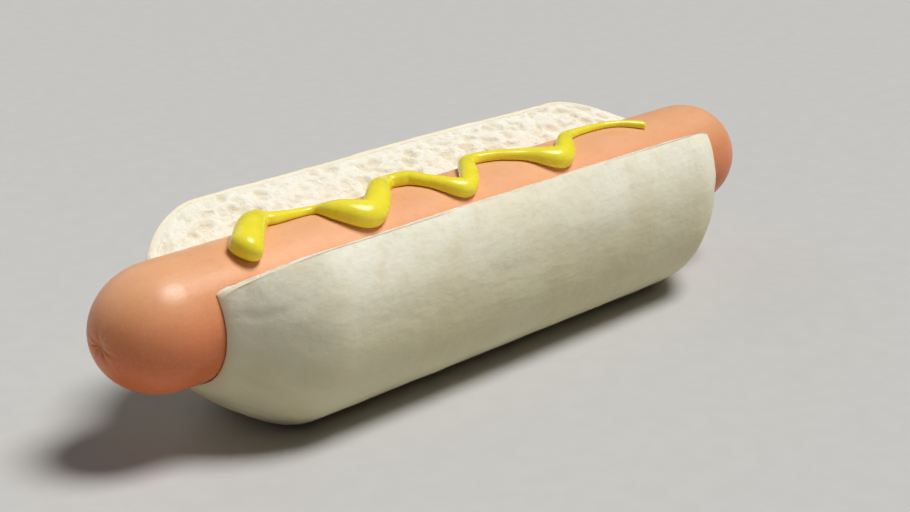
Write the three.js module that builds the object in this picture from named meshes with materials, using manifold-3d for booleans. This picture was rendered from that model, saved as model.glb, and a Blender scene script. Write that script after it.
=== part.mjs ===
// A hot dog: a frankfurter lying in a soft bun that is split along its top, with a zigzag of mustard.
// Units are millimetres. +Z is up and +X runs along the sausage. The origin is the middle of the bun's base,
// on the surface that the bun rests on.

import * as THREE from "three";
import { mergeVertices } from "three/addons/utils/BufferGeometryUtils.js";
import Module from "manifold-3d";

// Driving dimensions of the sausage
const SAUSAGE_RADIUS = 12;
const SAUSAGE_LENGTH = 177;
const SAUSAGE_CAP = 13.7; // length of each rounded end
const SAUSAGE_SIDES = 40;
const SAUSAGE_CAP_RINGS = 8;
const SAUSAGE_BODY_RINGS = 16;

// Driving dimensions of the bun
const AXIS_HEIGHT = 24; // the sausage's axis above the base
const BUN_LENGTH = 140;
const BUN_END = 17.4; // length of each rounded end
const END_POWER = 1.45; // fullness of those ends, 1 is a cone and 2 an ellipse
const BUN_HALF_WIDTH = 24.7;
const WIDEST_HEIGHT = 25; // where the sides stand furthest out
const BUN_SHOULDER = 24.3; // from there up to the top that the crust would have had before it was split
const SHOULDER_POWER = 2; // squareness of the upper side, 2 is an ellipse
const BELLY_POWER = 2.6; // squareness of the lower side
const BASE_FLAT = 0.35; // how much the round underside is flattened where it rests
const RIDGE_ANGLE = 34.9; // degrees above the sausage's axis at which the crust ends in the cut edge
const CONTACT_ANGLE = 41; // degrees at which the cut face meets the sausage
const FACE_SWELL = 0.7; // how far the cut face bulges
const LIP_SHARE = 0.1; // wall left at the very end of the bun, as a share of its full thickness
const CLEARANCE = 0.3; // between the bread and the sausage
const CRUST_POINTS = 40;
const FACE_POINTS = 4;
const CHANNEL_POINTS = 26;
const BUN_BODY_RINGS = 16;
const BUN_END_RINGS = 9;

// The mustard, from its blunt start at one end to the thin tail at the other:
// place along the sausage, degrees that it swings from the sausage's top (+ towards +Y), and the bead's radius
const MUSTARD_BENDS = [
  [-61.6, -32.5, 2.6],
  [-48.5, 17.5, 1.9],
  [-46.7, 13, 1.35],
  [-37.6, 7, 0.85],
  [-35.2, -12.5, 1.9],
  [-30, -27.5, 2.3],
  [-15.8, 20, 1.6],
  [-11.8, 11, 1.6],
  [-9.8, -6, 1.25],
  [-4.4, -30, 1.75],
  [7.6, 16, 1.3],
  [17, -7, 1.2],
  [24.7, -29, 2.05],
  [35.4, 4, 1.05],
  [48.4, 4, 0.75],
  [56.4, -19.6, 0.85],
];
const BEAD_SEAT = 0.8; // height of the bead's centre over the sausage's skin, in bead radii
const BEAD_SPREAD = 1.06; // how much wider than high the bead has slumped
const BEAD_SIDES = 10;
const BEAD_STEPS = 110;
const BEAD_TIP_RINGS = 3;

const wasm = await Module();
wasm.setup();

const radians = THREE.MathUtils.degToRad;
const channelRadius = SAUSAGE_RADIUS + CLEARANCE;
const clamp = THREE.MathUtils.clamp;

// A closed body through rings of equally many points. Each ring is closed, and the first and last are capped.
function loft(rings) {
  const count = rings[0].length;
  const positions = rings.flat().flatMap((p) => [p.x, p.y, p.z]);
  const faces = [];
  for (let ring = 0; ring < rings.length - 1; ring++) {
    for (let i = 0; i < count; i++) {
      const here = ring * count + i;
      const beside = ring * count + ((i + 1) % count);
      faces.push(here, beside, here + count);
      faces.push(beside, beside + count, here + count);
    }
  }
  const cap = capTriangles(rings[0]);
  const last = (rings.length - 1) * count;
  for (const [a, b, c] of cap) {
    faces.push(c, b, a);
    faces.push(last + a, last + b, last + c);
  }
  const geometry = new THREE.BufferGeometry();
  geometry.setAttribute("position", new THREE.Float32BufferAttribute(positions, 3));
  geometry.setIndex(faces);
  return geometry;
}

// The triangles of a ring's flat cap, turned so that they face the way that the loft runs
function capTriangles(ring) {
  const centre = ring.reduce((sum, p) => sum.add(p), new THREE.Vector3()).divideScalar(ring.length);
  const normal = new THREE.Vector3();
  ring.forEach((p, i) => {
    const next = ring[(i + 1) % ring.length];
    normal.add(p.clone().sub(centre).cross(next.clone().sub(centre)));
  });
  normal.normalize();
  const across = new THREE.Vector3(0, 0, 1).cross(normal);
  if (across.length() < 0.1) across.set(1, 0, 0);
  across.normalize();
  const upward = normal.clone().cross(across);
  const flat = ring.map((p) => new THREE.Vector2(p.dot(across), p.dot(upward)));
  return THREE.ShapeUtils.triangulateShape(flat, []);
}

// Points at equal steps along a polyline, both ends included
function evenly(points, count) {
  const lengths = [0];
  for (let i = 1; i < points.length; i++) lengths.push(lengths[i - 1] + points[i].distanceTo(points[i - 1]));
  const total = lengths[lengths.length - 1];
  const found = [];
  let segment = 1;
  for (let k = 0; k < count; k++) {
    const wanted = (total * k) / (count - 1);
    while (segment < points.length - 1 && lengths[segment] < wanted) segment++;
    const share = (wanted - lengths[segment - 1]) / (lengths[segment] - lengths[segment - 1]);
    found.push(points[segment - 1].clone().lerp(points[segment], clamp(share, 0, 1)));
  }
  return found;
}

// The sausage

// Half-outline of a straight frankfurter with an elliptical end cap at both ends, turned about the X axis
function sausageGeometry() {
  const straight = SAUSAGE_LENGTH / 2 - SAUSAGE_CAP;
  const profile = [];
  for (let i = 0; i <= SAUSAGE_CAP_RINGS; i++) {
    const turn = (Math.PI / 2) * (i / SAUSAGE_CAP_RINGS);
    const radius = i === 0 ? 0 : SAUSAGE_RADIUS * Math.sin(turn);
    profile.push(new THREE.Vector2(radius, -straight - SAUSAGE_CAP * Math.cos(turn)));
  }
  for (let i = 1; i < SAUSAGE_BODY_RINGS; i++) {
    profile.push(new THREE.Vector2(SAUSAGE_RADIUS, straight * ((2 * i) / SAUSAGE_BODY_RINGS - 1)));
  }
  for (let i = SAUSAGE_CAP_RINGS; i >= 0; i--) {
    const turn = (Math.PI / 2) * (i / SAUSAGE_CAP_RINGS);
    const radius = i === 0 ? 0 : SAUSAGE_RADIUS * Math.sin(turn);
    profile.push(new THREE.Vector2(radius, straight + SAUSAGE_CAP * Math.cos(turn)));
  }
  const geometry = new THREE.LatheGeometry(profile, SAUSAGE_SIDES);
  geometry.rotateZ(-Math.PI / 2);
  return geometry;
}

// The mustard

// The bead's centreline and radius at a share of the way along, on a smooth curve through the bends
function mustardCurves() {
  const line = new THREE.CatmullRomCurve3(
    MUSTARD_BENDS.map(([along, swing]) => new THREE.Vector3(along, SAUSAGE_RADIUS * radians(swing), 0)),
    false,
    "centripetal",
  );
  const thickness = new THREE.CatmullRomCurve3(
    MUSTARD_BENDS.map(([, , radius], i) => new THREE.Vector3(i, radius, 0)),
    false,
    "catmullrom",
    0.5,
  );
  return { line, thickness };
}

// Where along the curve the rings stand, closer together at the rounded start and end
function beadStations(length) {
  const first = MUSTARD_BENDS[0][2];
  const last = MUSTARD_BENDS[MUSTARD_BENDS.length - 1][2];
  const stations = [];
  for (let i = 1; i <= BEAD_TIP_RINGS; i++) {
    stations.push(first * (1 - Math.cos((Math.PI / 2) * (i / (BEAD_TIP_RINGS + 1)))));
  }
  for (let i = 0; i <= BEAD_STEPS; i++) {
    stations.push(first + ((length - first - last) * i) / BEAD_STEPS);
  }
  for (let i = BEAD_TIP_RINGS; i >= 1; i--) {
    stations.push(length - last * (1 - Math.cos((Math.PI / 2) * (i / (BEAD_TIP_RINGS + 1)))));
  }
  return stations;
}

// Share of the full bead at a distance from a rounded end of that radius
function endRounding(distance, radius) {
  const inside = clamp(1 - distance / radius, 0, 1);
  return Math.sqrt(1 - inside * inside);
}

// The zigzag bead: a half-round section, slumped on the skin, swept along the curve and wrapped round the sausage
function mustardGeometry() {
  const { line, thickness } = mustardCurves();
  const dense = line.getPoints(1200);
  const shares = [0];
  for (let i = 1; i < dense.length; i++) shares.push(shares[i - 1] + dense[i].distanceTo(dense[i - 1]));
  const length = shares[shares.length - 1];
  const rings = beadStations(length).map((station) => {
    let i = 1;
    while (i < shares.length - 1 && shares[i] < station) i++;
    const t = (i - 1 + (station - shares[i - 1]) / (shares[i] - shares[i - 1])) / (dense.length - 1);
    const place = line.getPoint(t);
    const tangent = line.getTangent(t);
    const first = MUSTARD_BENDS[0][2];
    const last = MUSTARD_BENDS[MUSTARD_BENDS.length - 1][2];
    const rounding = endRounding(station, first) * endRounding(length - station, last);
    const radius = thickness.getPoint(t).y;
    const side = new THREE.Vector3(-tangent.y, tangent.x, 0);
    return beadRing(place, side, radius, Math.max(rounding, 0.3));
  });
  return loft(rings);
}

// One ring of the bead. The section is drawn flat, and its across-the-sausage places become angles on the skin.
function beadRing(place, side, radius, rounding) {
  const ring = [];
  for (let k = 0; k < BEAD_SIDES; k++) {
    const turn = (2 * Math.PI * k) / BEAD_SIDES;
    const across = radius * BEAD_SPREAD * rounding * Math.cos(turn);
    const lift = radius * (BEAD_SEAT + rounding * Math.sin(turn));
    const along = place.x + side.x * across;
    const angle = (place.y + side.y * across) / SAUSAGE_RADIUS;
    const out = SAUSAGE_RADIUS + lift;
    ring.push(new THREE.Vector3(along, out * Math.sin(angle), out * Math.cos(angle)));
  }
  return ring;
}

// The bun

// A superellipse's point at a turn in radians
function superellipse(halfWidth, halfHeight, power, turn) {
  const cosine = Math.cos(turn);
  const sine = Math.sin(turn);
  return new THREE.Vector2(
    halfWidth * Math.sign(cosine) * Math.abs(cosine) ** (2 / power),
    halfHeight * Math.sign(sine) * Math.abs(sine) ** (2 / power),
  );
}

// The crust at the bun's middle, from the +Y cut edge down under the bun to the -Y one, about the sausage's axis
function crustOutline() {
  const widest = WIDEST_HEIGHT - AXIS_HEIGHT;
  const belly = WIDEST_HEIGHT + BASE_FLAT;
  const samples = 400;
  const right = [];
  for (let i = 0; i <= samples; i++) {
    const turn = (Math.PI / 2) * (1 - (2 * i) / samples);
    const upper = turn > 0;
    const height = upper ? BUN_SHOULDER : belly;
    const power = upper ? SHOULDER_POWER : BELLY_POWER;
    const point = superellipse(BUN_HALF_WIDTH, height, power, turn);
    point.y = Math.max(point.y + widest, -AXIS_HEIGHT);
    if (Math.atan2(point.y, point.x) <= radians(RIDGE_ANGLE)) right.push(point);
  }
  const left = right
    .slice(0, -1)
    .reverse()
    .map((p) => new THREE.Vector2(-p.x, p.y));
  return evenly([...right, ...left], CRUST_POINTS + 1);
}

// The cut faces and the channel that holds the sausage, from the -Y cut edge back to the +Y one, both left out
function insideOutline(ridge) {
  const contact = new THREE.Vector2(
    channelRadius * Math.cos(radians(CONTACT_ANGLE)),
    channelRadius * Math.sin(radians(CONTACT_ANGLE)),
  );
  const slope = ridge.clone().sub(contact);
  const outward = new THREE.Vector2(-slope.y, slope.x).normalize();
  const face = [];
  for (let i = 1; i < FACE_POINTS; i++) {
    const share = i / FACE_POINTS;
    const swell = FACE_SWELL * Math.sin(Math.PI * share);
    face.push(contact.clone().addScaledVector(slope, share).addScaledVector(outward, swell));
  }
  const channel = [];
  for (let i = 0; i <= CHANNEL_POINTS; i++) {
    const turn = radians(180 - CONTACT_ANGLE + ((180 + 2 * CONTACT_ANGLE) * i) / CHANNEL_POINTS);
    channel.push(new THREE.Vector2(channelRadius * Math.cos(turn), channelRadius * Math.sin(turn)));
  }
  const leftFace = face.map((p) => new THREE.Vector2(-p.x, p.y)).reverse();
  return [...leftFace, ...channel, ...face];
}

// Where the bun's rings stand along X, and how much of the wall is left there
function bunStations() {
  const straight = BUN_LENGTH / 2 - BUN_END;
  const stations = [];
  for (let i = BUN_END_RINGS; i >= 1; i--) {
    const quarter = superellipse(BUN_END, 1, END_POWER, (Math.PI / 2) * (1 - i / BUN_END_RINGS));
    const wall = Math.max(quarter.y, LIP_SHARE);
    stations.push([-straight - quarter.x, wall]);
  }
  for (let i = 0; i <= BUN_BODY_RINGS; i++) {
    stations.push([straight * ((2 * i) / BUN_BODY_RINGS - 1), 1]);
  }
  const mirrored = stations.slice(0, BUN_END_RINGS).reverse();
  return [...stations, ...mirrored.map(([x, wall]) => [-x, wall])];
}

// A C-shaped section that closes in on the sausage at both ends, as the crust of a baked bun does
function bunGeometry() {
  const crust = crustOutline();
  const outline = [...crust, ...insideOutline(crust[0])].reverse();
  const rings = bunStations().map(([x, wall]) =>
    outline.map((p) => {
      const reach = p.length();
      const scale = (channelRadius + (reach - channelRadius) * wall) / reach;
      return new THREE.Vector3(x, p.x * scale, p.y * scale);
    }),
  );
  return loft(rings);
}

// Joining

// A geometry as a solid, with only its shared positions kept
function toSolid(geometry) {
  const bare = geometry.clone();
  bare.deleteAttribute("normal");
  bare.deleteAttribute("uv");
  const merged = mergeVertices(bare, 1e-4);
  const triangles = [];
  const index = merged.index.array;
  for (let i = 0; i < index.length; i += 3) {
    const [a, b, c] = [index[i], index[i + 1], index[i + 2]];
    if (a !== b && b !== c && c !== a) triangles.push(a, b, c);
  }
  const mesh = new wasm.Mesh({
    numProp: 3,
    vertProperties: merged.attributes.position.array,
    triVerts: new Uint32Array(triangles),
  });
  return new wasm.Manifold(mesh);
}

function toGeometry(solid) {
  const mesh = solid.getMesh();
  const geometry = new THREE.BufferGeometry();
  geometry.setAttribute("position", new THREE.Float32BufferAttribute(mesh.vertProperties, 3));
  geometry.setIndex(new THREE.Uint32BufferAttribute(mesh.triVerts, 1));
  geometry.computeVertexNormals();
  return geometry;
}

// The model

function piece(name, geometry, colour, roughness) {
  const material = new THREE.MeshStandardMaterial({ color: colour, roughness, metalness: 0 });
  const mesh = new THREE.Mesh(geometry, material);
  mesh.name = name;
  mesh.position.z = AXIS_HEIGHT;
  return mesh;
}

const sausageAndMustard = toSolid(sausageGeometry()).add(toSolid(mustardGeometry()));

const hotDog = new THREE.Group();
hotDog.name = "hot_dog";
hotDog.add(piece("bun", bunGeometry(), 0xe8e0c6, 0.85));
hotDog.add(piece("sausage_with_mustard", toGeometry(sausageAndMustard), 0xe3a076, 0.45));

export default hotDog;
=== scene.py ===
"""The looks of the hot dog: pale soft bread, a satin sausage and a bead of glossy mustard.

Shapes are worked out in millimetres, in the frame's own place, and become metres when their mesh is made.
"""

import math

import bpy
import numpy as np
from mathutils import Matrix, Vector, noise


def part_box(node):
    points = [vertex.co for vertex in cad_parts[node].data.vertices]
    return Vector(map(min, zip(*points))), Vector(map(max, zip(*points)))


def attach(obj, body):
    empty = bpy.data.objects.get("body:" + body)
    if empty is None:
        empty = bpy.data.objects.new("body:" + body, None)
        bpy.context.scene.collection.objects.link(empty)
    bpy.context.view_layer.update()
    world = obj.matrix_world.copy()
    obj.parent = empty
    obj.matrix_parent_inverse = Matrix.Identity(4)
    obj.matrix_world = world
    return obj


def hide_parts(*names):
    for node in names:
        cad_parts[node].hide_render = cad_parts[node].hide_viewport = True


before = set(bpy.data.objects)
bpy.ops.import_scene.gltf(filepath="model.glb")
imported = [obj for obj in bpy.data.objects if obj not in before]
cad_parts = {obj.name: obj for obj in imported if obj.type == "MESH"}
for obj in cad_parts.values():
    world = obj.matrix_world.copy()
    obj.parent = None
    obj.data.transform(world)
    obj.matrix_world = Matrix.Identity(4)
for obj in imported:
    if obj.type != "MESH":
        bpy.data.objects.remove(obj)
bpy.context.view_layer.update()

MM = 0.001

# Sizes that the frame gives
BUN_HIGH = Vector(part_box("bun")[1]) / MM
DOG_LOW, DOG_HIGH = (Vector(corner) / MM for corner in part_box("sausage_with_mustard"))
SAUSAGE_RADIUS = (DOG_HIGH.y - DOG_LOW.y) / 2
AXIS_HEIGHT = DOG_LOW.z + SAUSAGE_RADIUS
SAUSAGE_REACH = DOG_HIGH.x
BUN_REACH = BUN_HIGH.x

# The bun's section, as in the solid
BUN_HALF_WIDTH = 24.7
WIDEST = 1.0  # height over the sausage's axis at which the sides stand furthest out
SHOULDER = 24.3  # how far over that the upper curve would rise if the cut edge didn't end it
SHOULDER_POWER = 2.0
BELLY_POWER = 2.6
BASE_FLAT = 0.35  # how far the lower curve would reach below the table
RIDGE_ANGLE = math.radians(34.9)
CONTACT_ANGLE = math.radians(41)
FACE_SWELL = 0.7
CLEARANCE = 0.12
CHANNEL_RADIUS = SAUSAGE_RADIUS + CLEARANCE
EDGE_SOFTNESS = 1.2  # reach over which the section's corners are rounded
GROOVE_MARGIN = 0.3  # how far off the channel's radius its points may be

# The bun's ends
BUN_END = 17.4  # length over which the wall thins out
END_POWER = 1.45
TAPER_SOFTNESS = 2.5  # half of the stretch over which the thinning sets in
SOFT_UNTIL = 6  # distance from the end from which that stretch narrows to nothing
CORNER_DROP = math.radians(5)  # how far the cut edge dips at the very end
DROP_FLOOR = math.radians(5)  # angle over the sausage's axis below which nothing dips
THIN_WALL = 0.4  # share of the wall that counts as thin
LAST_WALL = 0.012  # share of the wall that is left where the bread ends

# How fine the bun's curves are sampled, and how many of those points its mesh keeps
CRUST_SAMPLES = 3001
FACE_SAMPLES = 200
CHANNEL_SAMPLES = 800
SECTION_SAMPLES = 4000
END_SAMPLES = 2000
DENSITY_PLACES = [-60, -6, -2, 0, 1, 14]  # distances over the cut edge
DENSITIES = [1.25, 1.3, 2.4, 3.2, 2.7, 2.5]  # points a mm at those distances
GROOVE_DENSITY = 0.5  # points a mm where the bread is hidden under the sausage
STATION_STEP = 0.47
TAPER_LEAD = 3  # how long before the taper its closer stations start
TAPER_STATIONS = 66

# The bread's relief: the sizes of its waves, and depths inside its even shape
SINK = 0.2
SLOW_SIZE = 24
SLOW_DEPTH = 0.34
MEDIUM_SIZE = 7
MEDIUM_DEPTH = 0.05
MEDIUM_MORE_ON_CRUST = 0.1
FINE_SIZE = 1.7
FINE_ON_CRUST = 0.03
FINE_ON_CRUMB = 0.05
PLEAT_LENGTH = 16
PLEATS_A_RADIAN = 3.5
PLEAT_DEPTH = 0.3

# The larger gas holes of the cut faces
PORES = 380  # on each face
PORE_REACH = 68  # furthest along the bun
PORE_BAND = (1.6, 13)  # distances over the cut edge
PORE_SMALLEST = 0.5
PORE_GROWTH = 1.2  # how much larger the largest are
PORE_STRETCH = (0.8, 1.9)
PORE_LEAN = 0.6
PORE_DEPTH = 0.43  # share of the pore's radius
PORE_WOBBLE = 0.35  # how far their outlines stray
WOBBLE_SIZE = 1.6
WOBBLE_SEEDS = (8, 9)
PORE_SEEDS = (11, 12)

# The sausage
SAUSAGE_CAP = 13.7
SAUSAGE_AROUND = 168
BODY_RINGS = 330
CAP_RINGS = 40
CREASES = 9
CREASE_DEPTH = 0.36
DIMPLE_DEPTH = 0.7
SLOW_SKIN_SIZE = 9
SLOW_SKIN_DEPTH = 0.05
FINE_SKIN_SIZE = 1.5
FINE_SKIN_DEPTH = 0.012

# The mustard: place along the sausage, degrees of swing from its top (+ towards +Y) and the bead's radius
MUSTARD_BENDS = np.array([
    [-61.6, -32.5, 2.6],
    [-48.5, 17.5, 1.9],
    [-46.7, 13, 1.35],
    [-37.6, 7, 0.85],
    [-35.2, -12.5, 1.9],
    [-30, -27.5, 2.3],
    [-15.8, 20, 1.6],
    [-11.8, 11, 1.6],
    [-9.8, -6, 1.25],
    [-4.4, -30, 1.75],
    [7.6, 16, 1.3],
    [17, -7, 1.2],
    [24.7, -29, 2.05],
    [35.4, 4, 1.05],
    [48.4, 4, 0.75],
    [56.4, -19.6, 0.85],
])
FIRST_RADIUS = MUSTARD_BENDS[0, 2]
LAST_RADIUS = MUSTARD_BENDS[-1, 2]
LINE_SAMPLES = 6001
LINE_EASE = 90  # samples to both sides over which its bends are eased
RADIUS_EASE = 120
BEAD_AROUND = 36
BEAD_RINGS = 760
TIP_RINGS = 12
BEAD_SEAT = 0.8  # height of the bead's middle over the skin, as a share of its radius
BEAD_SPREAD = 1.17
BEAD_SLUMP = 0.3  # how much wider the lower half is
BEAD_ROOT = 0.5  # depth at which the bead ends inside the sausage
BEAD_TRIM = 0.975  # keeps the smooth bead inside the faceted one's height
BEND_ROOM = 0.9  # share of a bend's radius that its inner side may take up
TANGENT_SPAN = 0.15  # distance to both sides over which the line's direction is taken
MELT_CELL = 0.17  # size of the even skin's faces
MELT_PASSES = 14

# Colours: each pair is the main colour and that of its patches
# The upper and belly crust colours are lit and shaded copies of one cream: painted light above, painted
# shade below
CRUST_LIT_UPPER = (0.98, 0.945, 0.79), (0.94, 0.885, 0.695)
CRUST_SHADED_BELLY = (0.725, 0.675, 0.46), (0.68, 0.615, 0.39)
CRUST_BROWNED = (0.80, 0.70, 0.47)
CRUST_FRECKLE = (0.77, 0.66, 0.43)
CRUST_RIM = (0.90, 0.77, 0.52)
CRUMB = (0.89, 0.86, 0.755), (0.85, 0.815, 0.69)
# Painted shade for the insides of the crumb's holes
CRUMB_HOLE_SHADE = (0.74, 0.65, 0.45)
# The upper and lower sausage colours are lit and shaded copies: paler on top as painted light, deeper
# below as painted shade
SAUSAGE_LIT_UPPER = (0.84, 0.445, 0.235), (0.80, 0.40, 0.20)
SAUSAGE_SHADED_LOWER = (0.755, 0.198, 0.062), (0.715, 0.171, 0.049)
PALE_FLECK = (0.93, 0.55, 0.34)
DARK_FLECK = (0.72, 0.24, 0.10)
MUSTARD = (0.90, 0.79, 0.05), (0.87, 0.75, 0.038)
SEED_FLECK = (0.70, 0.50, 0.02)
FLOOR = (0.535, 0.53, 0.515), (0.52, 0.515, 0.50)

# The finest relief, which the materials add: the sizes of the crumb's bubbles, and depths
COARSE_BUBBLE = 2.2
FINE_BUBBLE = 0.8
COARSE_BUBBLE_DEPTH = 0.2
FINE_BUBBLE_DEPTH = 0.12
FOLD_DEPTH = 0.25
WRINKLE_DEPTH = 0.1
SKIN_GRAIN_DEPTH = 0.025
SKIN_WAVE_DEPTH = 0.13
PASTE_WAVE_DEPTH = 0.16

# Heights between which the lower colour, a painted shade, turns into the upper one, a painted light
BREAD_SHADE_TURN = (15 * MM, 37 * MM)
SAUSAGE_SHADE_TURN = (19.5 * MM, 37 * MM)

# The camera, fitted to the photo: where it stands, and how it is turned
CAMERA_PLACE = Vector((-242.7, -235.8, 138.4)) * MM
CAMERA_YAW = math.radians(45.76)
CAMERA_PITCH = math.radians(19.57)
CAMERA_LENS = 68.6
SENSOR_WIDTH = 36

# The light: where it comes from, how strong it is and how wide its source looks
KEY_DIRECTION = Vector((0.3, -0.27, 0.92))
KEY_STRENGTH = 3.25
KEY_WIDTH = math.radians(24)
FILL_DIRECTION = Vector((-0.25, 0.85, 0.45))
FILL_STRENGTH = 0.6
FILL_WIDTH = math.radians(80)
LIGHT_COLOUR = (1.0, 0.995, 0.985)
SURROUND_COLOUR = (1.0, 0.98, 0.95, 1)
SURROUND_LIGHT = 0.05  # its strength as a light
SURROUND_SEEN = 0.58  # its strength where the camera sees it

# The floor's half width, in metres
FLOOR_HALF = 12.0

# What a seed shifts the noise by
SHAPE_SHIFT = np.array([17.3, 5.1, -9.7])
SHADER_SHIFT = np.array([61.7, 23.3, 41.9])


# Shared helpers for shapes


def smoothstep(low, high, value):
    share = np.clip((value - low) / (high - low), 0, 1)
    return share * share * (3 - 2 * share)


def noise_at(points, size, seed=0.0):
    """Smooth noise of about -1 to 1 at points in mm, with features of that size."""
    scaled = points / size + seed * SHAPE_SHIFT
    flat = scaled.reshape(-1, 3)
    values = [noise.noise(Vector(p)) for p in flat.tolist()]
    return np.array(values).reshape(points.shape[:-1])


def running_length(line):
    """How far along the line each of its points is."""
    steps = np.linalg.norm(np.diff(line, axis=0), axis=1)
    return np.concatenate([[0], np.cumsum(steps)])


def places_at(distances, length, line):
    """The line's places at distances along it, from the running length of its points."""
    return np.stack([np.interp(distances, length, column) for column in line.T], -1)


def smoothed(padded, reach):
    """The padded line without its padding, each point the mean of those up to that many places away."""
    window = np.hanning(2 * reach + 3)[1:-1]
    window /= window.sum()
    return np.stack([np.convolve(column, window, "valid") for column in padded.T], -1)


def surface_normals(rings):
    """Outward unit normals of a grid of rings, each closed round +X."""
    around = np.roll(rings, -1, axis=1) - np.roll(rings, 1, axis=1)
    along = np.gradient(rings, axis=0)
    normals = np.cross(around, along)
    length = np.linalg.norm(normals, axis=-1, keepdims=True)
    return normals / np.maximum(length, 1e-9)


def new_piece(name, points, faces, attributes=()):
    """A smooth mesh object from points in mm. Each attribute is a name and one value a point."""
    mesh = bpy.data.meshes.new(name)
    mesh.from_pydata((points.reshape(-1, 3) * MM).tolist(), [], faces)
    mesh.polygons.foreach_set("use_smooth", np.ones(len(mesh.polygons), bool))
    for label, values in attributes:
        layer = mesh.attributes.new(label, "FLOAT", "POINT")
        layer.data.foreach_set("value", values.astype(np.float32).ravel())
    mesh.update()
    piece = bpy.data.objects.new(name, mesh)
    bpy.context.collection.objects.link(piece)
    return piece


def loft_faces(rings):
    """The faces between neighbouring rings, each closed round +X."""
    count, around, _ = rings.shape
    station, place = np.meshgrid(np.arange(count - 1), np.arange(around), indexing="ij")
    here = station * around + place
    beside = station * around + (place + 1) % around
    return np.stack([here, beside, beside + around, here + around], -1).reshape(-1, 4).tolist()


def flat_caps(rings):
    """One face over each end of a loft."""
    count, around, _ = rings.shape
    last = (count - 1) * around
    return [list(range(around))[::-1], list(range(last, last + around))]


# The bun's section


def crust_curve():
    """The crust's line about the sausage's axis, from the -Y cut edge under the bun to the +Y one."""
    belly = AXIS_HEIGHT + WIDEST + BASE_FLAT
    turn = np.linspace(math.pi / 2, -math.pi / 2, CRUST_SAMPLES)
    upper = turn > 0
    height = np.where(upper, SHOULDER, belly)
    power = np.where(upper, SHOULDER_POWER, BELLY_POWER)
    sine = np.sin(turn)
    y = BUN_HALF_WIDTH * np.abs(np.cos(turn)) ** (2 / power)
    z = np.maximum(WIDEST + np.sign(sine) * height * np.abs(sine) ** (2 / power), -AXIS_HEIGHT)
    side = np.stack([y, z], -1)[np.arctan2(z, y) <= RIDGE_ANGLE]
    return np.concatenate([side * [-1, 1], side[-2::-1]])


def face_curve(ridge, outward_sign):
    """A cut face from its ridge down to where it meets the sausage."""
    contact = np.array([
        outward_sign * CHANNEL_RADIUS * math.cos(CONTACT_ANGLE),
        CHANNEL_RADIUS * math.sin(CONTACT_ANGLE),
    ])
    share = np.linspace(0, 1, FACE_SAMPLES)[:, None]
    slope = contact - ridge
    normal = np.array([-slope[1], slope[0]]) * -outward_sign
    normal /= np.linalg.norm(normal)
    return ridge + slope * share + normal * FACE_SWELL * np.sin(math.pi * share)


def channel_curve():
    """The groove under the sausage, from the +Y contact down and round to the -Y one."""
    turn = np.linspace(CONTACT_ANGLE, -math.pi - CONTACT_ANGLE, CHANNEL_SAMPLES)
    return np.stack([CHANNEL_RADIUS * np.cos(turn), CHANNEL_RADIUS * np.sin(turn)], -1)


def rounded_corners(curve, reach):
    """A closed curve with its corners softened over that reach, in mm. It has even steps."""
    closed = np.concatenate([curve, curve[:1]])
    length = running_length(closed)
    even = np.linspace(0, length[-1], SECTION_SAMPLES, endpoint=False)
    points = places_at(even, length, closed)
    half = max(1, round(reach / 2 / (length[-1] / SECTION_SAMPLES)))
    return smoothed(np.concatenate([points[-half:], points, points[:half]]), half)


def distance_over_edge(curve, step):
    """How far along the section each point is from the nearer cut edge, + where it is on the crumb."""
    path = np.concatenate([[0], np.cumsum(step)[:-1]])
    total = step.sum()
    ridges = [np.argmax(np.where(side * curve[:, 0] > 0, curve[:, 1], -np.inf)) for side in (1, -1)]
    gap = [(path - path[ridge] + total / 2) % total - total / 2 for ridge in ridges]
    return np.where(np.abs(gap[0]) < np.abs(gap[1]), gap[0], -gap[1])


def spread_points(density, step):
    """Which points of a closed curve to keep, so that a mm has as many of them as its density says."""
    wanted = np.concatenate([[0], np.cumsum(density * step)])
    picks = np.linspace(0, wanted[-1], round(wanted[-1]), endpoint=False)
    return np.interp(picks, wanted, np.arange(len(wanted))).astype(int) % len(step)


def bun_section():
    """The section's points, how far over the cut edge each is, and whether it is in the groove."""
    crust = crust_curve()
    parts = [
        crust[:-1],
        face_curve(crust[-1], 1)[:-1],
        channel_curve()[:-1],
        face_curve(crust[0], -1)[::-1][:-1],
    ]
    curve = rounded_corners(np.concatenate(parts), EDGE_SOFTNESS)
    step = np.linalg.norm(np.diff(curve, axis=0, append=curve[:1]), axis=1)
    over_edge = distance_over_edge(curve, step)
    angle = np.arctan2(curve[:, 1], curve[:, 0])
    below_contact = (angle < CONTACT_ANGLE) | (angle > math.pi - CONTACT_ANGLE)
    by_channel = np.linalg.norm(curve, axis=1) < CHANNEL_RADIUS + GROOVE_MARGIN
    groove = by_channel & below_contact & (over_edge > 0)

    density = np.interp(over_edge, DENSITY_PLACES, DENSITIES)
    chosen = spread_points(np.where(groove, GROOVE_DENSITY, density), step)
    return curve[chosen], over_edge[chosen], groove[chosen]


# The bun's length and ends


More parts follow.
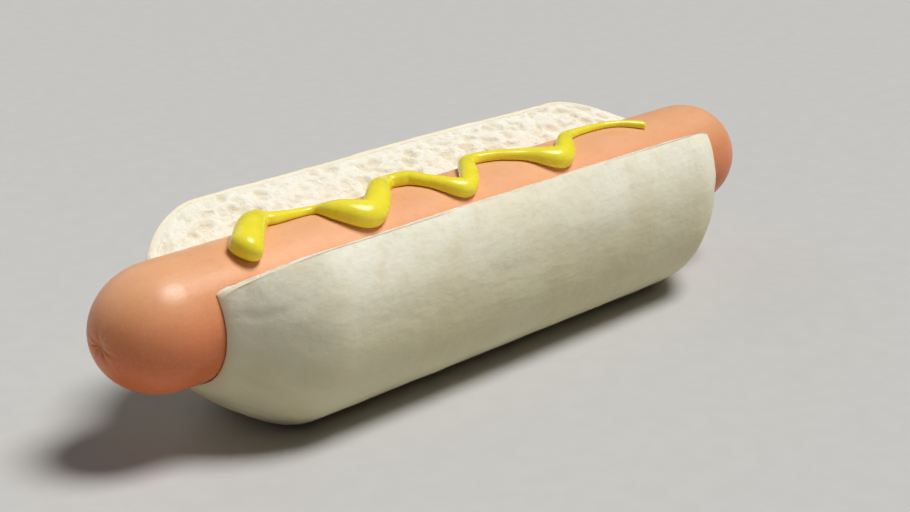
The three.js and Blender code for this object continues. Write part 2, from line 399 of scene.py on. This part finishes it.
def bun_stations():
    """Places along X, and the share of the wall that is left there."""
    straight = BUN_REACH - BUN_END
    turns = np.linspace(0, math.pi / 2, END_SAMPLES)
    profile_x = straight + BUN_END * np.sin(turns) ** (2 / END_POWER)
    profile_wall = np.cos(turns) ** (2 / END_POWER)
    end = np.interp(-LAST_WALL, -profile_wall, profile_x)

    even = straight - TAPER_LEAD
    body = np.linspace(0, even, round(even / STATION_STEP) + 1)
    taper = even + (end - even) * np.sin(np.linspace(0, math.pi / 2, TAPER_STATIONS))
    along = np.concatenate([body, taper[1:]])
    # The taper sets in softly: each wall is the mean over the stretch around it
    spread = np.linspace(-1, 1, 41) * TAPER_SOFTNESS
    near = np.abs(along[:, None] + spread * np.clip((end - along[:, None]) / SOFT_UNTIL, 0, 1))
    wall = np.interp(near, profile_x, profile_wall).mean(1)
    half = np.stack([along, wall], -1)
    return np.concatenate([half[:0:-1] * [-1, 1], half])


def bun_rings(section, stations):
    """The bread's even shape: the section, drawn in to the sausage towards both ends."""
    reach = np.linalg.norm(section, axis=1)
    wall = stations[:, 1, None]
    out = CHANNEL_RADIUS + (reach - CHANNEL_RADIUS) * wall
    angle = np.arctan2(section[:, 1], np.abs(section[:, 0]))
    corner = CORNER_DROP * np.clip(1 - wall / THIN_WALL, 0, 1) ** 2
    angle = angle - corner * smoothstep(DROP_FLOOR, CONTACT_ANGLE, angle)
    rings = np.empty((*out.shape, 3))
    rings[..., 0] = stations[:, 0, None]
    rings[..., 1] = np.sign(section[:, 0]) * np.cos(angle) * out
    rings[..., 2] = np.sin(angle) * out + AXIS_HEIGHT
    return rings


def end_strip(section, groove, first, outward):
    """Faces that close the bread's thin end: they join its outside to the groove, angle by angle."""
    # Angles about the sausage, counted from the open top
    angle = (np.arctan2(section[:, 1], section[:, 0]) + math.radians(270)) % (2 * math.pi)
    outside = [k for k in np.argsort(angle) if not groove[k]]
    inside = [k for k in np.argsort(angle) if groove[k]]
    faces = []
    i = j = 0
    while i < len(outside) - 1 or j < len(inside) - 1:
        step_outside = j == len(inside) - 1
        if i < len(outside) - 1 and j < len(inside) - 1:
            step_outside = angle[outside[i + 1]] < angle[inside[j + 1]]
        corner = outside[i + 1] if step_outside else inside[j + 1]
        face = [first + k for k in (outside[i], corner, inside[j])]
        faces.append(face if outward else face[::-1])
        i += step_outside
        j += not step_outside
    return faces


# The bread's surface


def pores(along, across, seed):
    """How deep, in mm, the larger gas holes of the dough are at places on a cut face."""
    chance = np.random.default_rng(seed)
    depth = np.zeros_like(along)
    for _ in range(PORES):
        middle_x = chance.uniform(-PORE_REACH, PORE_REACH)
        middle_s = chance.uniform(*PORE_BAND)
        radius = PORE_SMALLEST + PORE_GROWTH * chance.random() ** 3
        stretch = chance.uniform(*PORE_STRETCH)
        lean = chance.uniform(-PORE_LEAN, PORE_LEAN)
        window = 4 * radius
        near = (np.abs(along - middle_x) < window) & (np.abs(across - middle_s) < window)
        dx = (along[near] - middle_x) / stretch + lean * (across[near] - middle_s)
        ds = (across[near] - middle_s) * math.sqrt(stretch)
        inside = np.clip(1 - (dx * dx + ds * ds) / radius**2, 0, 1)
        depth[near] = np.maximum(depth[near], PORE_DEPTH * radius * inside**0.7)
    return depth


def cut_face_pores(rings, section, edge, from_contact):
    """The gas holes of both cut faces. They are wavy, and fade before a face's two long sides."""
    wobble_x, wobble_s = (PORE_WOBBLE * noise_at(rings, WOBBLE_SIZE, seed) for seed in WOBBLE_SEEDS)
    along = rings[..., 0] + wobble_x
    across = edge + wobble_s
    faces = [pores(along, across, seed) for seed in PORE_SEEDS]
    fade = smoothstep(1.1, 2.2, edge) * smoothstep(0.2, 1.6, from_contact)
    return np.where(section[:, 0] > 0, *faces) * fade


def bun_relief(rings, section, stations, edge, pore):
    """How far the bread's surface lies inside its even shape, in mm."""
    wall = np.broadcast_to(stations[:, 1, None], edge.shape)
    slow = 1 + noise_at(rings * [0.6, 1, 1], SLOW_SIZE, seed=1)
    medium = noise_at(rings, MEDIUM_SIZE, seed=2)
    fine = noise_at(rings * [1, 0.7, 0.7], FINE_SIZE, seed=3)
    # Pleats run along the thin ends, so their noise changes faster round the section than along it
    angle = np.broadcast_to(np.arctan2(section[:, 1], section[:, 0]), edge.shape)
    circle = np.stack([np.cos(angle), np.sin(angle)], -1) * PLEATS_A_RADIAN
    around = np.concatenate([rings[..., :1] / PLEAT_LENGTH, circle], -1)
    pleats = np.clip(1 - 2 * np.abs(noise_at(around, 1.0, seed=4)), 0, 1) ** 2

    on_crust = smoothstep(0.8, -0.8, edge)
    on_crumb = 1 - on_crust
    depth = SINK + SLOW_DEPTH * slow + medium * (MEDIUM_DEPTH + MEDIUM_MORE_ON_CRUST * on_crust)
    depth += FINE_ON_CRUST * fine * on_crust
    depth += PLEAT_DEPTH * pleats * on_crust * smoothstep(1.0, THIN_WALL, wall)
    depth += (FINE_ON_CRUMB * fine + pore) * on_crumb
    return depth * smoothstep(LAST_WALL, THIN_WALL, wall)


def make_bun():
    section, over_edge, groove = bun_section()
    stations = bun_stations()
    rings = bun_rings(section, stations)
    # The cut face narrows with the wall, so distances on it do too
    wall = stations[:, 1, None]
    edge = np.where(over_edge > 0, over_edge * wall, over_edge)
    from_contact = (over_edge[~groove].max() - over_edge) * wall
    pore = cut_face_pores(rings, section, edge, from_contact)
    depth = bun_relief(rings, section, stations, edge, pore)
    # The base stays flat, and the groove round
    depth *= smoothstep(0.2, 3.0, rings[..., 2]) * (1 - groove)
    rings = rings - surface_normals(rings) * depth[..., None]
    rings[..., 2] = np.maximum(rings[..., 2], 0)

    last = (len(stations) - 1) * len(section)
    near_end = end_strip(section, groove, 0, outward=False)
    far_end = end_strip(section, groove, last, outward=True)
    faces = loft_faces(rings) + near_end + far_end
    piece = new_piece("bun_bread", rings, faces, [("over_edge", edge), ("pore", pore)])
    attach(piece, "root")
    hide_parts("bun")
    piece.data.materials.append(bread_material())


# The sausage


def sausage_profile():
    """Places along the sausage and its radius there: straight, with an elliptical cap at each end."""
    cap_turn = np.linspace(0.004, math.pi / 2, CAP_RINGS)
    straight = SAUSAGE_REACH - SAUSAGE_CAP
    body = np.linspace(-straight, straight, BODY_RINGS)[1:-1]
    cap_along = straight + SAUSAGE_CAP * np.cos(cap_turn)
    along = np.concatenate([-cap_along, body, cap_along[::-1]])
    share = np.concatenate([np.sin(cap_turn), np.ones_like(body), np.sin(cap_turn)[::-1]])
    return along, share * SAUSAGE_RADIUS


def skin_relief(rings, radius, turn):
    """How far the skin lies inside the even shape: puckers at the tied-off tips, and faint waves."""
    in_cap = np.abs(rings[..., 0]) > SAUSAGE_REACH - SAUSAGE_CAP
    from_tip = np.broadcast_to((radius / SAUSAGE_RADIUS)[:, None], rings.shape[:-1])
    at_tip = smoothstep(0.44, 0.08, from_tip) * in_cap
    creases = 0.5 + 0.5 * np.cos(CREASES * turn + 1.3 * np.sin(2 * turn + 0.6))
    creases *= 0.7 + 0.3 * np.cos(3 * turn + 1)
    pucker = at_tip * (CREASE_DEPTH * creases**1.5) * smoothstep(0.0, 0.2, from_tip)
    dimple = DIMPLE_DEPTH * smoothstep(0.2, 0.0, from_tip) * in_cap
    slow = SLOW_SKIN_DEPTH * (1 + noise_at(rings * [0.5, 1, 1], SLOW_SKIN_SIZE, seed=6))
    fine = FINE_SKIN_DEPTH * (1 + noise_at(rings, FINE_SKIN_SIZE, seed=7))
    return pucker + dimple + (slow + fine)


def make_sausage():
    along, radius = sausage_profile()
    turn = np.linspace(0, 2 * math.pi, SAUSAGE_AROUND, endpoint=False)
    rings = np.empty((len(along), len(turn), 3))
    rings[..., 0] = along[:, None]
    rings[..., 1] = radius[:, None] * np.cos(turn)
    rings[..., 2] = radius[:, None] * np.sin(turn) + AXIS_HEIGHT
    rings = rings - surface_normals(rings) * skin_relief(rings, radius, turn)[..., None]
    piece = new_piece("sausage", rings, loft_faces(rings) + flat_caps(rings))
    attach(piece, "root")
    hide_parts("sausage_with_mustard")
    piece.data.materials.append(sausage_material())


# The mustard


def through_points(points, shares, centripetal):
    """Places at shares from 0 to 1 on a Catmull-Rom curve through the points."""
    count = len(points)
    ends = np.concatenate([[2 * points[0] - points[1]], points, [2 * points[-1] - points[-2]]])
    place = shares * (count - 1)
    k = np.minimum(place.astype(int), count - 2)
    weight = (place - k)[:, None]
    p0, p1, p2, p3 = (ends[k + shift] for shift in range(4))

    def gap(a, b):
        if not centripetal:
            return np.ones((len(a), 1))
        return np.linalg.norm(b - a, axis=1, keepdims=True) ** 0.5

    d0, d1, d2 = gap(p0, p1), gap(p1, p2), gap(p2, p3)
    start = ((p1 - p0) / d0 - (p2 - p0) / (d0 + d1) + (p2 - p1) / d1) * d1
    end = ((p2 - p1) / d1 - (p3 - p1) / (d1 + d2) + (p3 - p2) / d2) * d1
    w2 = weight * weight
    w3 = w2 * weight
    from_start = (2 * w3 - 3 * w2 + 1) * p1 + (w3 - 2 * w2 + weight) * start
    return from_start + (3 * w2 - 2 * w3) * p2 + (w3 - w2) * end


def eased(line, reach):
    """The line with each point moved to the mean of those around it. The ends stay."""
    before = 2 * line[0] - line[reach:0:-1]
    after = 2 * line[-1] - line[-2:-reach - 2:-1]
    return smoothed(np.concatenate([before, line, after]), reach)


def kept_off_centre(across, curvature):
    """Distances to the side of a bending line, held short of a bend's centre so that nothing folds."""
    inner = across * curvature > 0
    room = BEND_ROOM / np.maximum(np.abs(curvature), 1e-6)
    held = np.sign(across) * room * np.tanh(np.abs(across) / room)
    return np.where(inner, held, across)


def bead_line():
    """The bead's middle line on the skin, laid flat, and the bead's radius at each of its points."""
    on_skin = MUSTARD_BENDS[:, :2] * [1, math.radians(SAUSAGE_RADIUS)]
    shares = np.linspace(0, 1, LINE_SAMPLES)
    line = eased(through_points(on_skin, shares, centripetal=True), LINE_EASE)
    radius = eased(through_points(MUSTARD_BENDS[:, 2:], shares, centripetal=False), RADIUS_EASE)
    return line, radius[:, 0] * BEAD_TRIM


def bead_stations(total):
    """Distances along the line where the bead has a ring. They are close together on its round ends."""
    tip_turn = np.linspace(0.08, math.pi / 2, TIP_RINGS)
    return np.concatenate([
        FIRST_RADIUS * (1 - np.cos(tip_turn)),
        np.linspace(FIRST_RADIUS, total - LAST_RADIUS, BEAD_RINGS)[1:-1],
        total - LAST_RADIUS * (1 - np.cos(tip_turn[::-1])),
    ])


def bead_rounding(stations, total):
    """The share of its radius that the bead has at those distances, less than 1 only near its ends."""
    from_start = np.clip(1 - stations / FIRST_RADIUS, 0, 1)
    from_end = np.clip(1 - (total - stations) / LAST_RADIUS, 0, 1)
    return np.maximum(np.sqrt(1 - from_start**2) * np.sqrt(1 - from_end**2), 0.06)


def bead_rings():
    """The bead's rings, laid on the sausage. Its lower half spreads a little on the skin."""
    line, thickness = bead_line()
    length = running_length(line)
    stations = bead_stations(length[-1])
    place = places_at(stations, length, line)
    ahead = places_at(stations + TANGENT_SPAN, length, line)
    behind = places_at(stations - TANGENT_SPAN, length, line)
    tangent = ahead - behind
    tangent /= np.linalg.norm(tangent, axis=1, keepdims=True)
    side = np.stack([-tangent[:, 1], tangent[:, 0]], -1)
    heading = np.unwrap(np.arctan2(tangent[:, 1], tangent[:, 0]))
    curvature = np.gradient(heading, stations)
    radius = np.interp(stations, length, thickness)
    size = (radius * bead_rounding(stations, length[-1]))[:, None]

    turn = np.linspace(0, 2 * math.pi, BEAD_AROUND, endpoint=False)
    sine = np.sin(turn)
    slump = 1 + BEAD_SLUMP * smoothstep(0.1, -0.8, sine)
    across = kept_off_centre(size * BEAD_SPREAD * np.cos(turn) * slump, curvature[:, None])
    lift = np.maximum(radius[:, None] * BEAD_SEAT + size * sine, -BEAD_ROOT)
    along = place[:, :1] + side[:, :1] * across
    angle = (place[:, 1:] + side[:, 1:] * across) / SAUSAGE_RADIUS
    out = SAUSAGE_RADIUS + lift
    return np.stack([along, out * np.sin(angle), out * np.cos(angle) + AXIS_HEIGHT], -1)


def melted(rough, name):
    """One even skin in the rough piece's place, so that bends that run into each other join smoothly."""
    even = rough.modifiers.new("even", "REMESH")
    even.mode = "VOXEL"
    even.voxel_size = MELT_CELL * MM
    even.use_smooth_shade = True
    soft = rough.modifiers.new("soft", "SMOOTH")
    soft.factor = 0.5
    soft.iterations = MELT_PASSES
    shape = rough.evaluated_get(bpy.context.evaluated_depsgraph_get())
    piece = bpy.data.objects.new(name, bpy.data.meshes.new_from_object(shape))
    bpy.context.collection.objects.link(piece)
    bpy.data.objects.remove(rough)
    return piece


def make_mustard():
    rings = bead_rings()
    rough = new_piece("mustard_outline", rings, loft_faces(rings) + flat_caps(rings))
    piece = melted(rough, "mustard_bead")
    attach(piece, "root")
    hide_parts("sausage_with_mustard")
    piece.data.materials.append(mustard_material())


# Shared helpers for materials


class Nodes:
    """A material's node tree, with short ways to add and join nodes. Sizes are in mm."""

    def __init__(self, name):
        self.material = bpy.data.materials.new(name)
        self.material.use_nodes = True
        self.tree = self.material.node_tree
        self.shader = self.tree.nodes["Principled BSDF"]
        self.place = self.add("ShaderNodeNewGeometry").outputs["Position"]
        split = self.add("ShaderNodeSeparateXYZ")
        self.join(self.place, split.inputs["Vector"])
        self.height = split.outputs["Z"]

    def add(self, kind, **settings):
        node = self.tree.nodes.new(kind)
        for key, value in settings.items():
            setattr(node, key, value)
        return node

    def join(self, source, target):
        self.tree.links.new(source, target)

    def paint(self, colour):
        self.join(colour, self.shader.inputs["Base Color"])

    def polish(self, roughness):
        self.join(roughness, self.shader.inputs["Roughness"])

    def set(self, **values):
        for key, value in values.items():
            self.shader.inputs[key.replace("_", " ")].default_value = value

    def stretched(self, factors=(1, 1, 1), start=0):
        """The place with each axis scaled, in units of 1 mm. Another start gives a noise other values."""
        mapping = self.add("ShaderNodeMapping")
        mapping.inputs["Location"].default_value = start * SHADER_SHIFT
        mapping.inputs["Scale"].default_value = [f / MM for f in factors]
        self.join(self.place, mapping.inputs["Vector"])
        return mapping.outputs["Vector"]

    def noise(self, size, detail=3.0, roughness=0.5, stretch=(1, 1, 1), start=0):
        """Noise with features of that size, and a finer layer on them for each step of detail."""
        node = self.add("ShaderNodeTexNoise")
        node.inputs["Scale"].default_value = 1 / size
        node.inputs["Detail"].default_value = detail
        node.inputs["Roughness"].default_value = roughness
        self.join(self.stretched(stretch, start), node.inputs["Vector"])
        return node.outputs["Fac"]

    def pushed(self, size, reach, stretch):
        """The place, pushed aside by noise of that size, so that what is drawn there is irregular."""
        push = self.add("ShaderNodeTexNoise")
        push.inputs["Scale"].default_value = 1 / size
        self.join(self.stretched(), push.inputs["Vector"])
        moved = self.add("ShaderNodeVectorMath", operation="MULTIPLY_ADD")
        self.join(push.outputs["Color"], moved.inputs[0])
        moved.inputs[1].default_value = (reach, reach, reach)
        self.join(self.stretched(stretch), moved.inputs[2])
        return moved.outputs["Vector"]

    def cells(self, size, place, feature="F1"):
        node = self.add("ShaderNodeTexVoronoi", feature=feature)
        node.inputs["Scale"].default_value = 1 / size
        self.join(place, node.inputs["Vector"])
        return node

    def chances(self, cells):
        """Two random numbers from 0 to 1 for each cell."""
        split = self.add("ShaderNodeSeparateColor")
        self.join(cells.outputs["Color"], split.inputs["Color"])
        return split.outputs["Red"], split.outputs["Green"]

    def specks(self, size, low, high, share):
        """Specks in that share of the cells: 1 within the low distance, 0 beyond the high one."""
        cells = self.cells(size, self.stretched())
        chosen, span = self.chances(cells)
        width = self.ramp(span, 0, 1, 0.5, 1, smooth=False)
        distance = self.maths("DIVIDE", cells.outputs["Distance"], width)
        return self.times(self.ramp(distance, high, low), self.maths("LESS_THAN", chosen, share))

    def foam(self, size, stretch):
        """Bubbles of that size and of chance depth: 0 on the walls between them, up to 1 inside."""
        place = self.pushed(size * 0.8, size * 0.6, stretch)
        wall = self.cells(size, place, "DISTANCE_TO_EDGE").outputs["Distance"]
        chance, _ = self.chances(self.cells(size, place))
        return self.times(self.ramp(wall, 0.02, 0.42), self.ramp(chance, 0.3, 1.0, 0.08, 1.0))

    def attribute(self, name):
        return self.add("ShaderNodeAttribute", attribute_name=name).outputs["Fac"]

    def ramp(self, value, low, high, start=0.0, end=1.0, smooth=True):
        """value from low to high, turned into start to end and held there."""
        node = self.add("ShaderNodeMapRange", interpolation_type="SMOOTHSTEP" if smooth else "LINEAR")
        for key, number in (("From Min", low), ("From Max", high), ("To Min", start), ("To Max", end)):
            node.inputs[key].default_value = number
        self.join(value, node.inputs["Value"])
        return node.outputs["Result"]

    def maths(self, operation, a, b):
        node = self.add("ShaderNodeMath", operation=operation)
        for socket, value in zip(node.inputs, (a, b)):
            if isinstance(value, (int, float)):
                socket.default_value = value
            else:
                self.join(value, socket)
        return node.outputs["Value"]

    def times(self, a, b):
        return self.maths("MULTIPLY", a, b)

    def inverted(self, value):
        return self.maths("SUBTRACT", 1, value)

    def mix(self, share, a, b):
        """Colour a where share is 0 and b where it is 1."""
        node = self.add("ShaderNodeMix", data_type="RGBA")
        # The node has sockets for every data type, and these are the ones for colours
        factor, first, second = (node.inputs[k] for k in (0, 6, 7))
        mixed = node.outputs[2]
        self.join(share, factor)
        for socket, colour in ((first, a), (second, b)):
            if isinstance(colour, tuple):
                socket.default_value = (*colour, 1)
            else:
                self.join(colour, socket)
        return mixed

    def bumps(self, *layers):
        """Each layer is a height and its depth in mm. They are added on top of each other."""
        below = None
        for height, depth in layers:
            node = self.add("ShaderNodeBump")
            node.inputs["Distance"].default_value = depth * MM
            self.join(height, node.inputs["Height"])
            if below is not None:
                self.join(below, node.inputs["Normal"])
            below = node.outputs["Normal"]
        self.join(below, self.shader.inputs["Normal"])


# Materials


def crust_colour(n, rim):
    """Cream, darker low down as painted shade and lighter on top as painted light, with soft patches and
    faint golden freckles from the oven.
    """
    patches = n.ramp(n.noise(18, 4), 0.35, 0.68)
    upper = n.mix(patches, *CRUST_LIT_UPPER)
    belly = n.mix(patches, *CRUST_SHADED_BELLY)
    # Painted light and shade: the cream turns darker towards the bottom and lighter towards the top
    colour = n.mix(n.ramp(n.height, *BREAD_SHADE_TURN), belly, upper)
    browned = n.ramp(n.noise(5, 4, 0.6, start=8), 0.46, 0.76, 0, 0.45)
    freckles = n.ramp(n.noise(1.3, roughness=0.6, start=9), 0.5, 0.75, 0, 0.3)
    colour = n.mix(browned, colour, CRUST_BROWNED)
    colour = n.mix(freckles, colour, CRUST_FRECKLE)
    return n.mix(n.times(rim, 0.5), colour, CRUST_RIM)


def crumb_colour(n, hole_shade):
    """Nearly white, darker and yellower down in the holes as painted shade."""
    colour = n.mix(n.ramp(n.noise(3, 4), 0.35, 0.7), *CRUMB)
    # Painted shade darkens the holes
    return n.mix(n.times(hole_shade, 0.55), colour, CRUMB_HOLE_SHADE)


def bread_material():
    """Pale crust outside, open crumb on the cut faces, and a faintly toasted line between them."""
    n = Nodes("bread")
    # The distance over the cut edge in mm, made a little uneven
    unevenness = n.ramp(n.noise(1.1), 0.3, 0.7, -0.3, 0.3, smooth=False)
    edge = n.maths("ADD", n.attribute("over_edge"), unevenness)
    crumb = n.ramp(edge, 0.9, 1.5)
    crust = n.inverted(crumb)
    open_crumb = n.ramp(edge, 1.2, 2.2)
    rim = n.times(n.ramp(edge, -0.6, 0.5), crust)
    coarse = n.times(n.foam(COARSE_BUBBLE, (0.75, 1, 1)), open_crumb)
    fine = n.times(n.foam(FINE_BUBBLE, (0.8, 1, 1)), open_crumb)
    # Painted shade goes into the deeper gas holes and the coarse bubbles
    hole_shade = n.maths("MAXIMUM", n.ramp(n.attribute("pore"), 0.05, 0.5), n.times(coarse, 0.8))
    n.paint(n.mix(crumb, crust_colour(n, rim), crumb_colour(n, hole_shade)))
    crust_roughness = n.ramp(n.noise(4, start=5), 0.3, 0.7, 0.46, 0.6, smooth=False)
    n.polish(n.maths("MAXIMUM", crust_roughness, n.times(crumb, 0.9)))
    n.set(Subsurface_Weight=0.2, Subsurface_Radius=(1.0, 0.8, 0.55), Subsurface_Scale=2.0 * MM)
    n.set(Specular_IOR_Level=0.3)

    folds = n.times(n.noise(3.4, stretch=(0.45, 1, 1), start=2), crust)
    wrinkles = n.times(n.noise(1.3, roughness=0.55, stretch=(0.6, 1, 1), start=3), crust)
    n.bumps(
        (folds, FOLD_DEPTH),
        (wrinkles, WRINKLE_DEPTH),
        (n.inverted(coarse), COARSE_BUBBLE_DEPTH),
        (n.inverted(fine), FINE_BUBBLE_DEPTH),
    )
    return n.material


def sausage_material():
    """A satin skin over a finely mottled filling, paler on top as painted light and deeper in colour
    towards the underside as painted shade.
    """
    n = Nodes("sausage_skin")
    mottle = n.ramp(n.noise(9, 4, 0.55, stretch=(0.6, 1, 1)), 0.32, 0.7)
    upper = n.mix(mottle, *SAUSAGE_LIT_UPPER)
    lower = n.mix(mottle, *SAUSAGE_SHADED_LOWER)
    # Painted light and shade: paler on top, deeper in colour towards the underside
    colour = n.mix(n.ramp(n.height, *SAUSAGE_SHADE_TURN), lower, upper)
    pale = n.ramp(n.noise(0.5, 2, stretch=(0.8, 1, 1), start=6), 0.45, 0.75, 0, 0.12)
    dark = n.ramp(n.noise(1.5, 4, 0.6, stretch=(0.7, 1, 1), start=4), 0.5, 0.8, 0, 0.25)
    colour = n.mix(pale, colour, PALE_FLECK)
    colour = n.mix(dark, colour, DARK_FLECK)
    n.paint(colour)
    n.polish(n.ramp(n.noise(2.5, 4, 0.6), 0.3, 0.7, 0.33, 0.43, smooth=False))
    n.set(Subsurface_Weight=0.15, Subsurface_Radius=(1.0, 0.35, 0.2), Subsurface_Scale=2.0 * MM, IOR=1.42)
    grain = n.noise(0.8, roughness=0.55, stretch=(0.5, 1, 1))
    waves = n.noise(4.0, stretch=(0.3, 1, 1), start=3)
    n.bumps((grain, SKIN_GRAIN_DEPTH), (waves, SKIN_WAVE_DEPTH))
    return n.material


def mustard_material():
    """Smooth wet mustard with a few flecks of ground seed."""
    n = Nodes("mustard_paste")
    paste = n.mix(n.ramp(n.noise(2.4, 4, 0.55), 0.35, 0.7), *MUSTARD)
    grain = n.specks(0.9, low=0.1, high=0.22, share=0.3)
    n.paint(n.mix(n.times(grain, 0.35), paste, SEED_FLECK))
    n.polish(n.ramp(n.noise(3, 1), 0.3, 0.7, 0.2, 0.32, smooth=False))
    n.set(Subsurface_Weight=0.25, Subsurface_Radius=(1.0, 0.8, 0.12), Subsurface_Scale=1.5 * MM, IOR=1.42)
    n.bumps((n.noise(3.2, 0, start=5), PASTE_WAVE_DEPTH))
    return n.material


def floor_material():
    n = Nodes("floor")
    n.paint(n.mix(n.ramp(n.noise(5), 0.3, 0.7), *FLOOR))
    n.set(Roughness=0.75)
    return n.material


# The studio


def make_floor():
    mesh = bpy.data.meshes.new("floor")
    corners = [(x * FLOOR_HALF, y * FLOOR_HALF, 0) for x, y in ((-1, -1), (1, -1), (1, 1), (-1, 1))]
    mesh.from_pydata(corners, [], [(0, 1, 2, 3)])
    mesh.materials.append(floor_material())
    floor = bpy.data.objects.new("floor", mesh)
    bpy.context.collection.objects.link(floor)


def make_light(name, direction, strength, width):
    light = bpy.data.lights.new(name, "SUN")
    light.energy = strength
    light.angle = width
    light.color = LIGHT_COLOUR
    lamp = bpy.data.objects.new(name, light)
    lamp.rotation_euler = direction.to_track_quat("Z", "Y").to_euler()
    bpy.context.collection.objects.link(lamp)


def make_surround():
    """A pale surround that shows more than it lights."""
    world = bpy.data.worlds.new("studio")
    world.use_nodes = True
    tree = world.node_tree
    background = tree.nodes["Background"]
    background.inputs["Color"].default_value = SURROUND_COLOUR
    seen = tree.nodes.new("ShaderNodeLightPath")
    strength = tree.nodes.new("ShaderNodeMapRange")
    strength.inputs["To Min"].default_value = SURROUND_LIGHT
    strength.inputs["To Max"].default_value = SURROUND_SEEN
    tree.links.new(seen.outputs["Is Camera Ray"], strength.inputs["Value"])
    tree.links.new(strength.outputs["Result"], background.inputs["Strength"])
    bpy.context.scene.world = world
    bpy.context.scene.view_settings.view_transform = "Standard"


def make_camera():
    data = bpy.data.cameras.new("camera")
    data.lens = CAMERA_LENS
    data.sensor_width = SENSOR_WIDTH
    data.clip_start = 0.01
    camera = bpy.data.objects.new("camera", data)
    camera.location = CAMERA_PLACE
    camera.rotation_euler = (math.pi / 2 - CAMERA_PITCH, 0, -CAMERA_YAW)
    bpy.context.collection.objects.link(camera)
    bpy.context.scene.camera = camera


make_camera()
make_bun()
make_sausage()
make_mustard()
make_floor()
make_light("key", KEY_DIRECTION, KEY_STRENGTH, KEY_WIDTH)
make_light("fill", FILL_DIRECTION, FILL_STRENGTH, FILL_WIDTH)
make_surround()
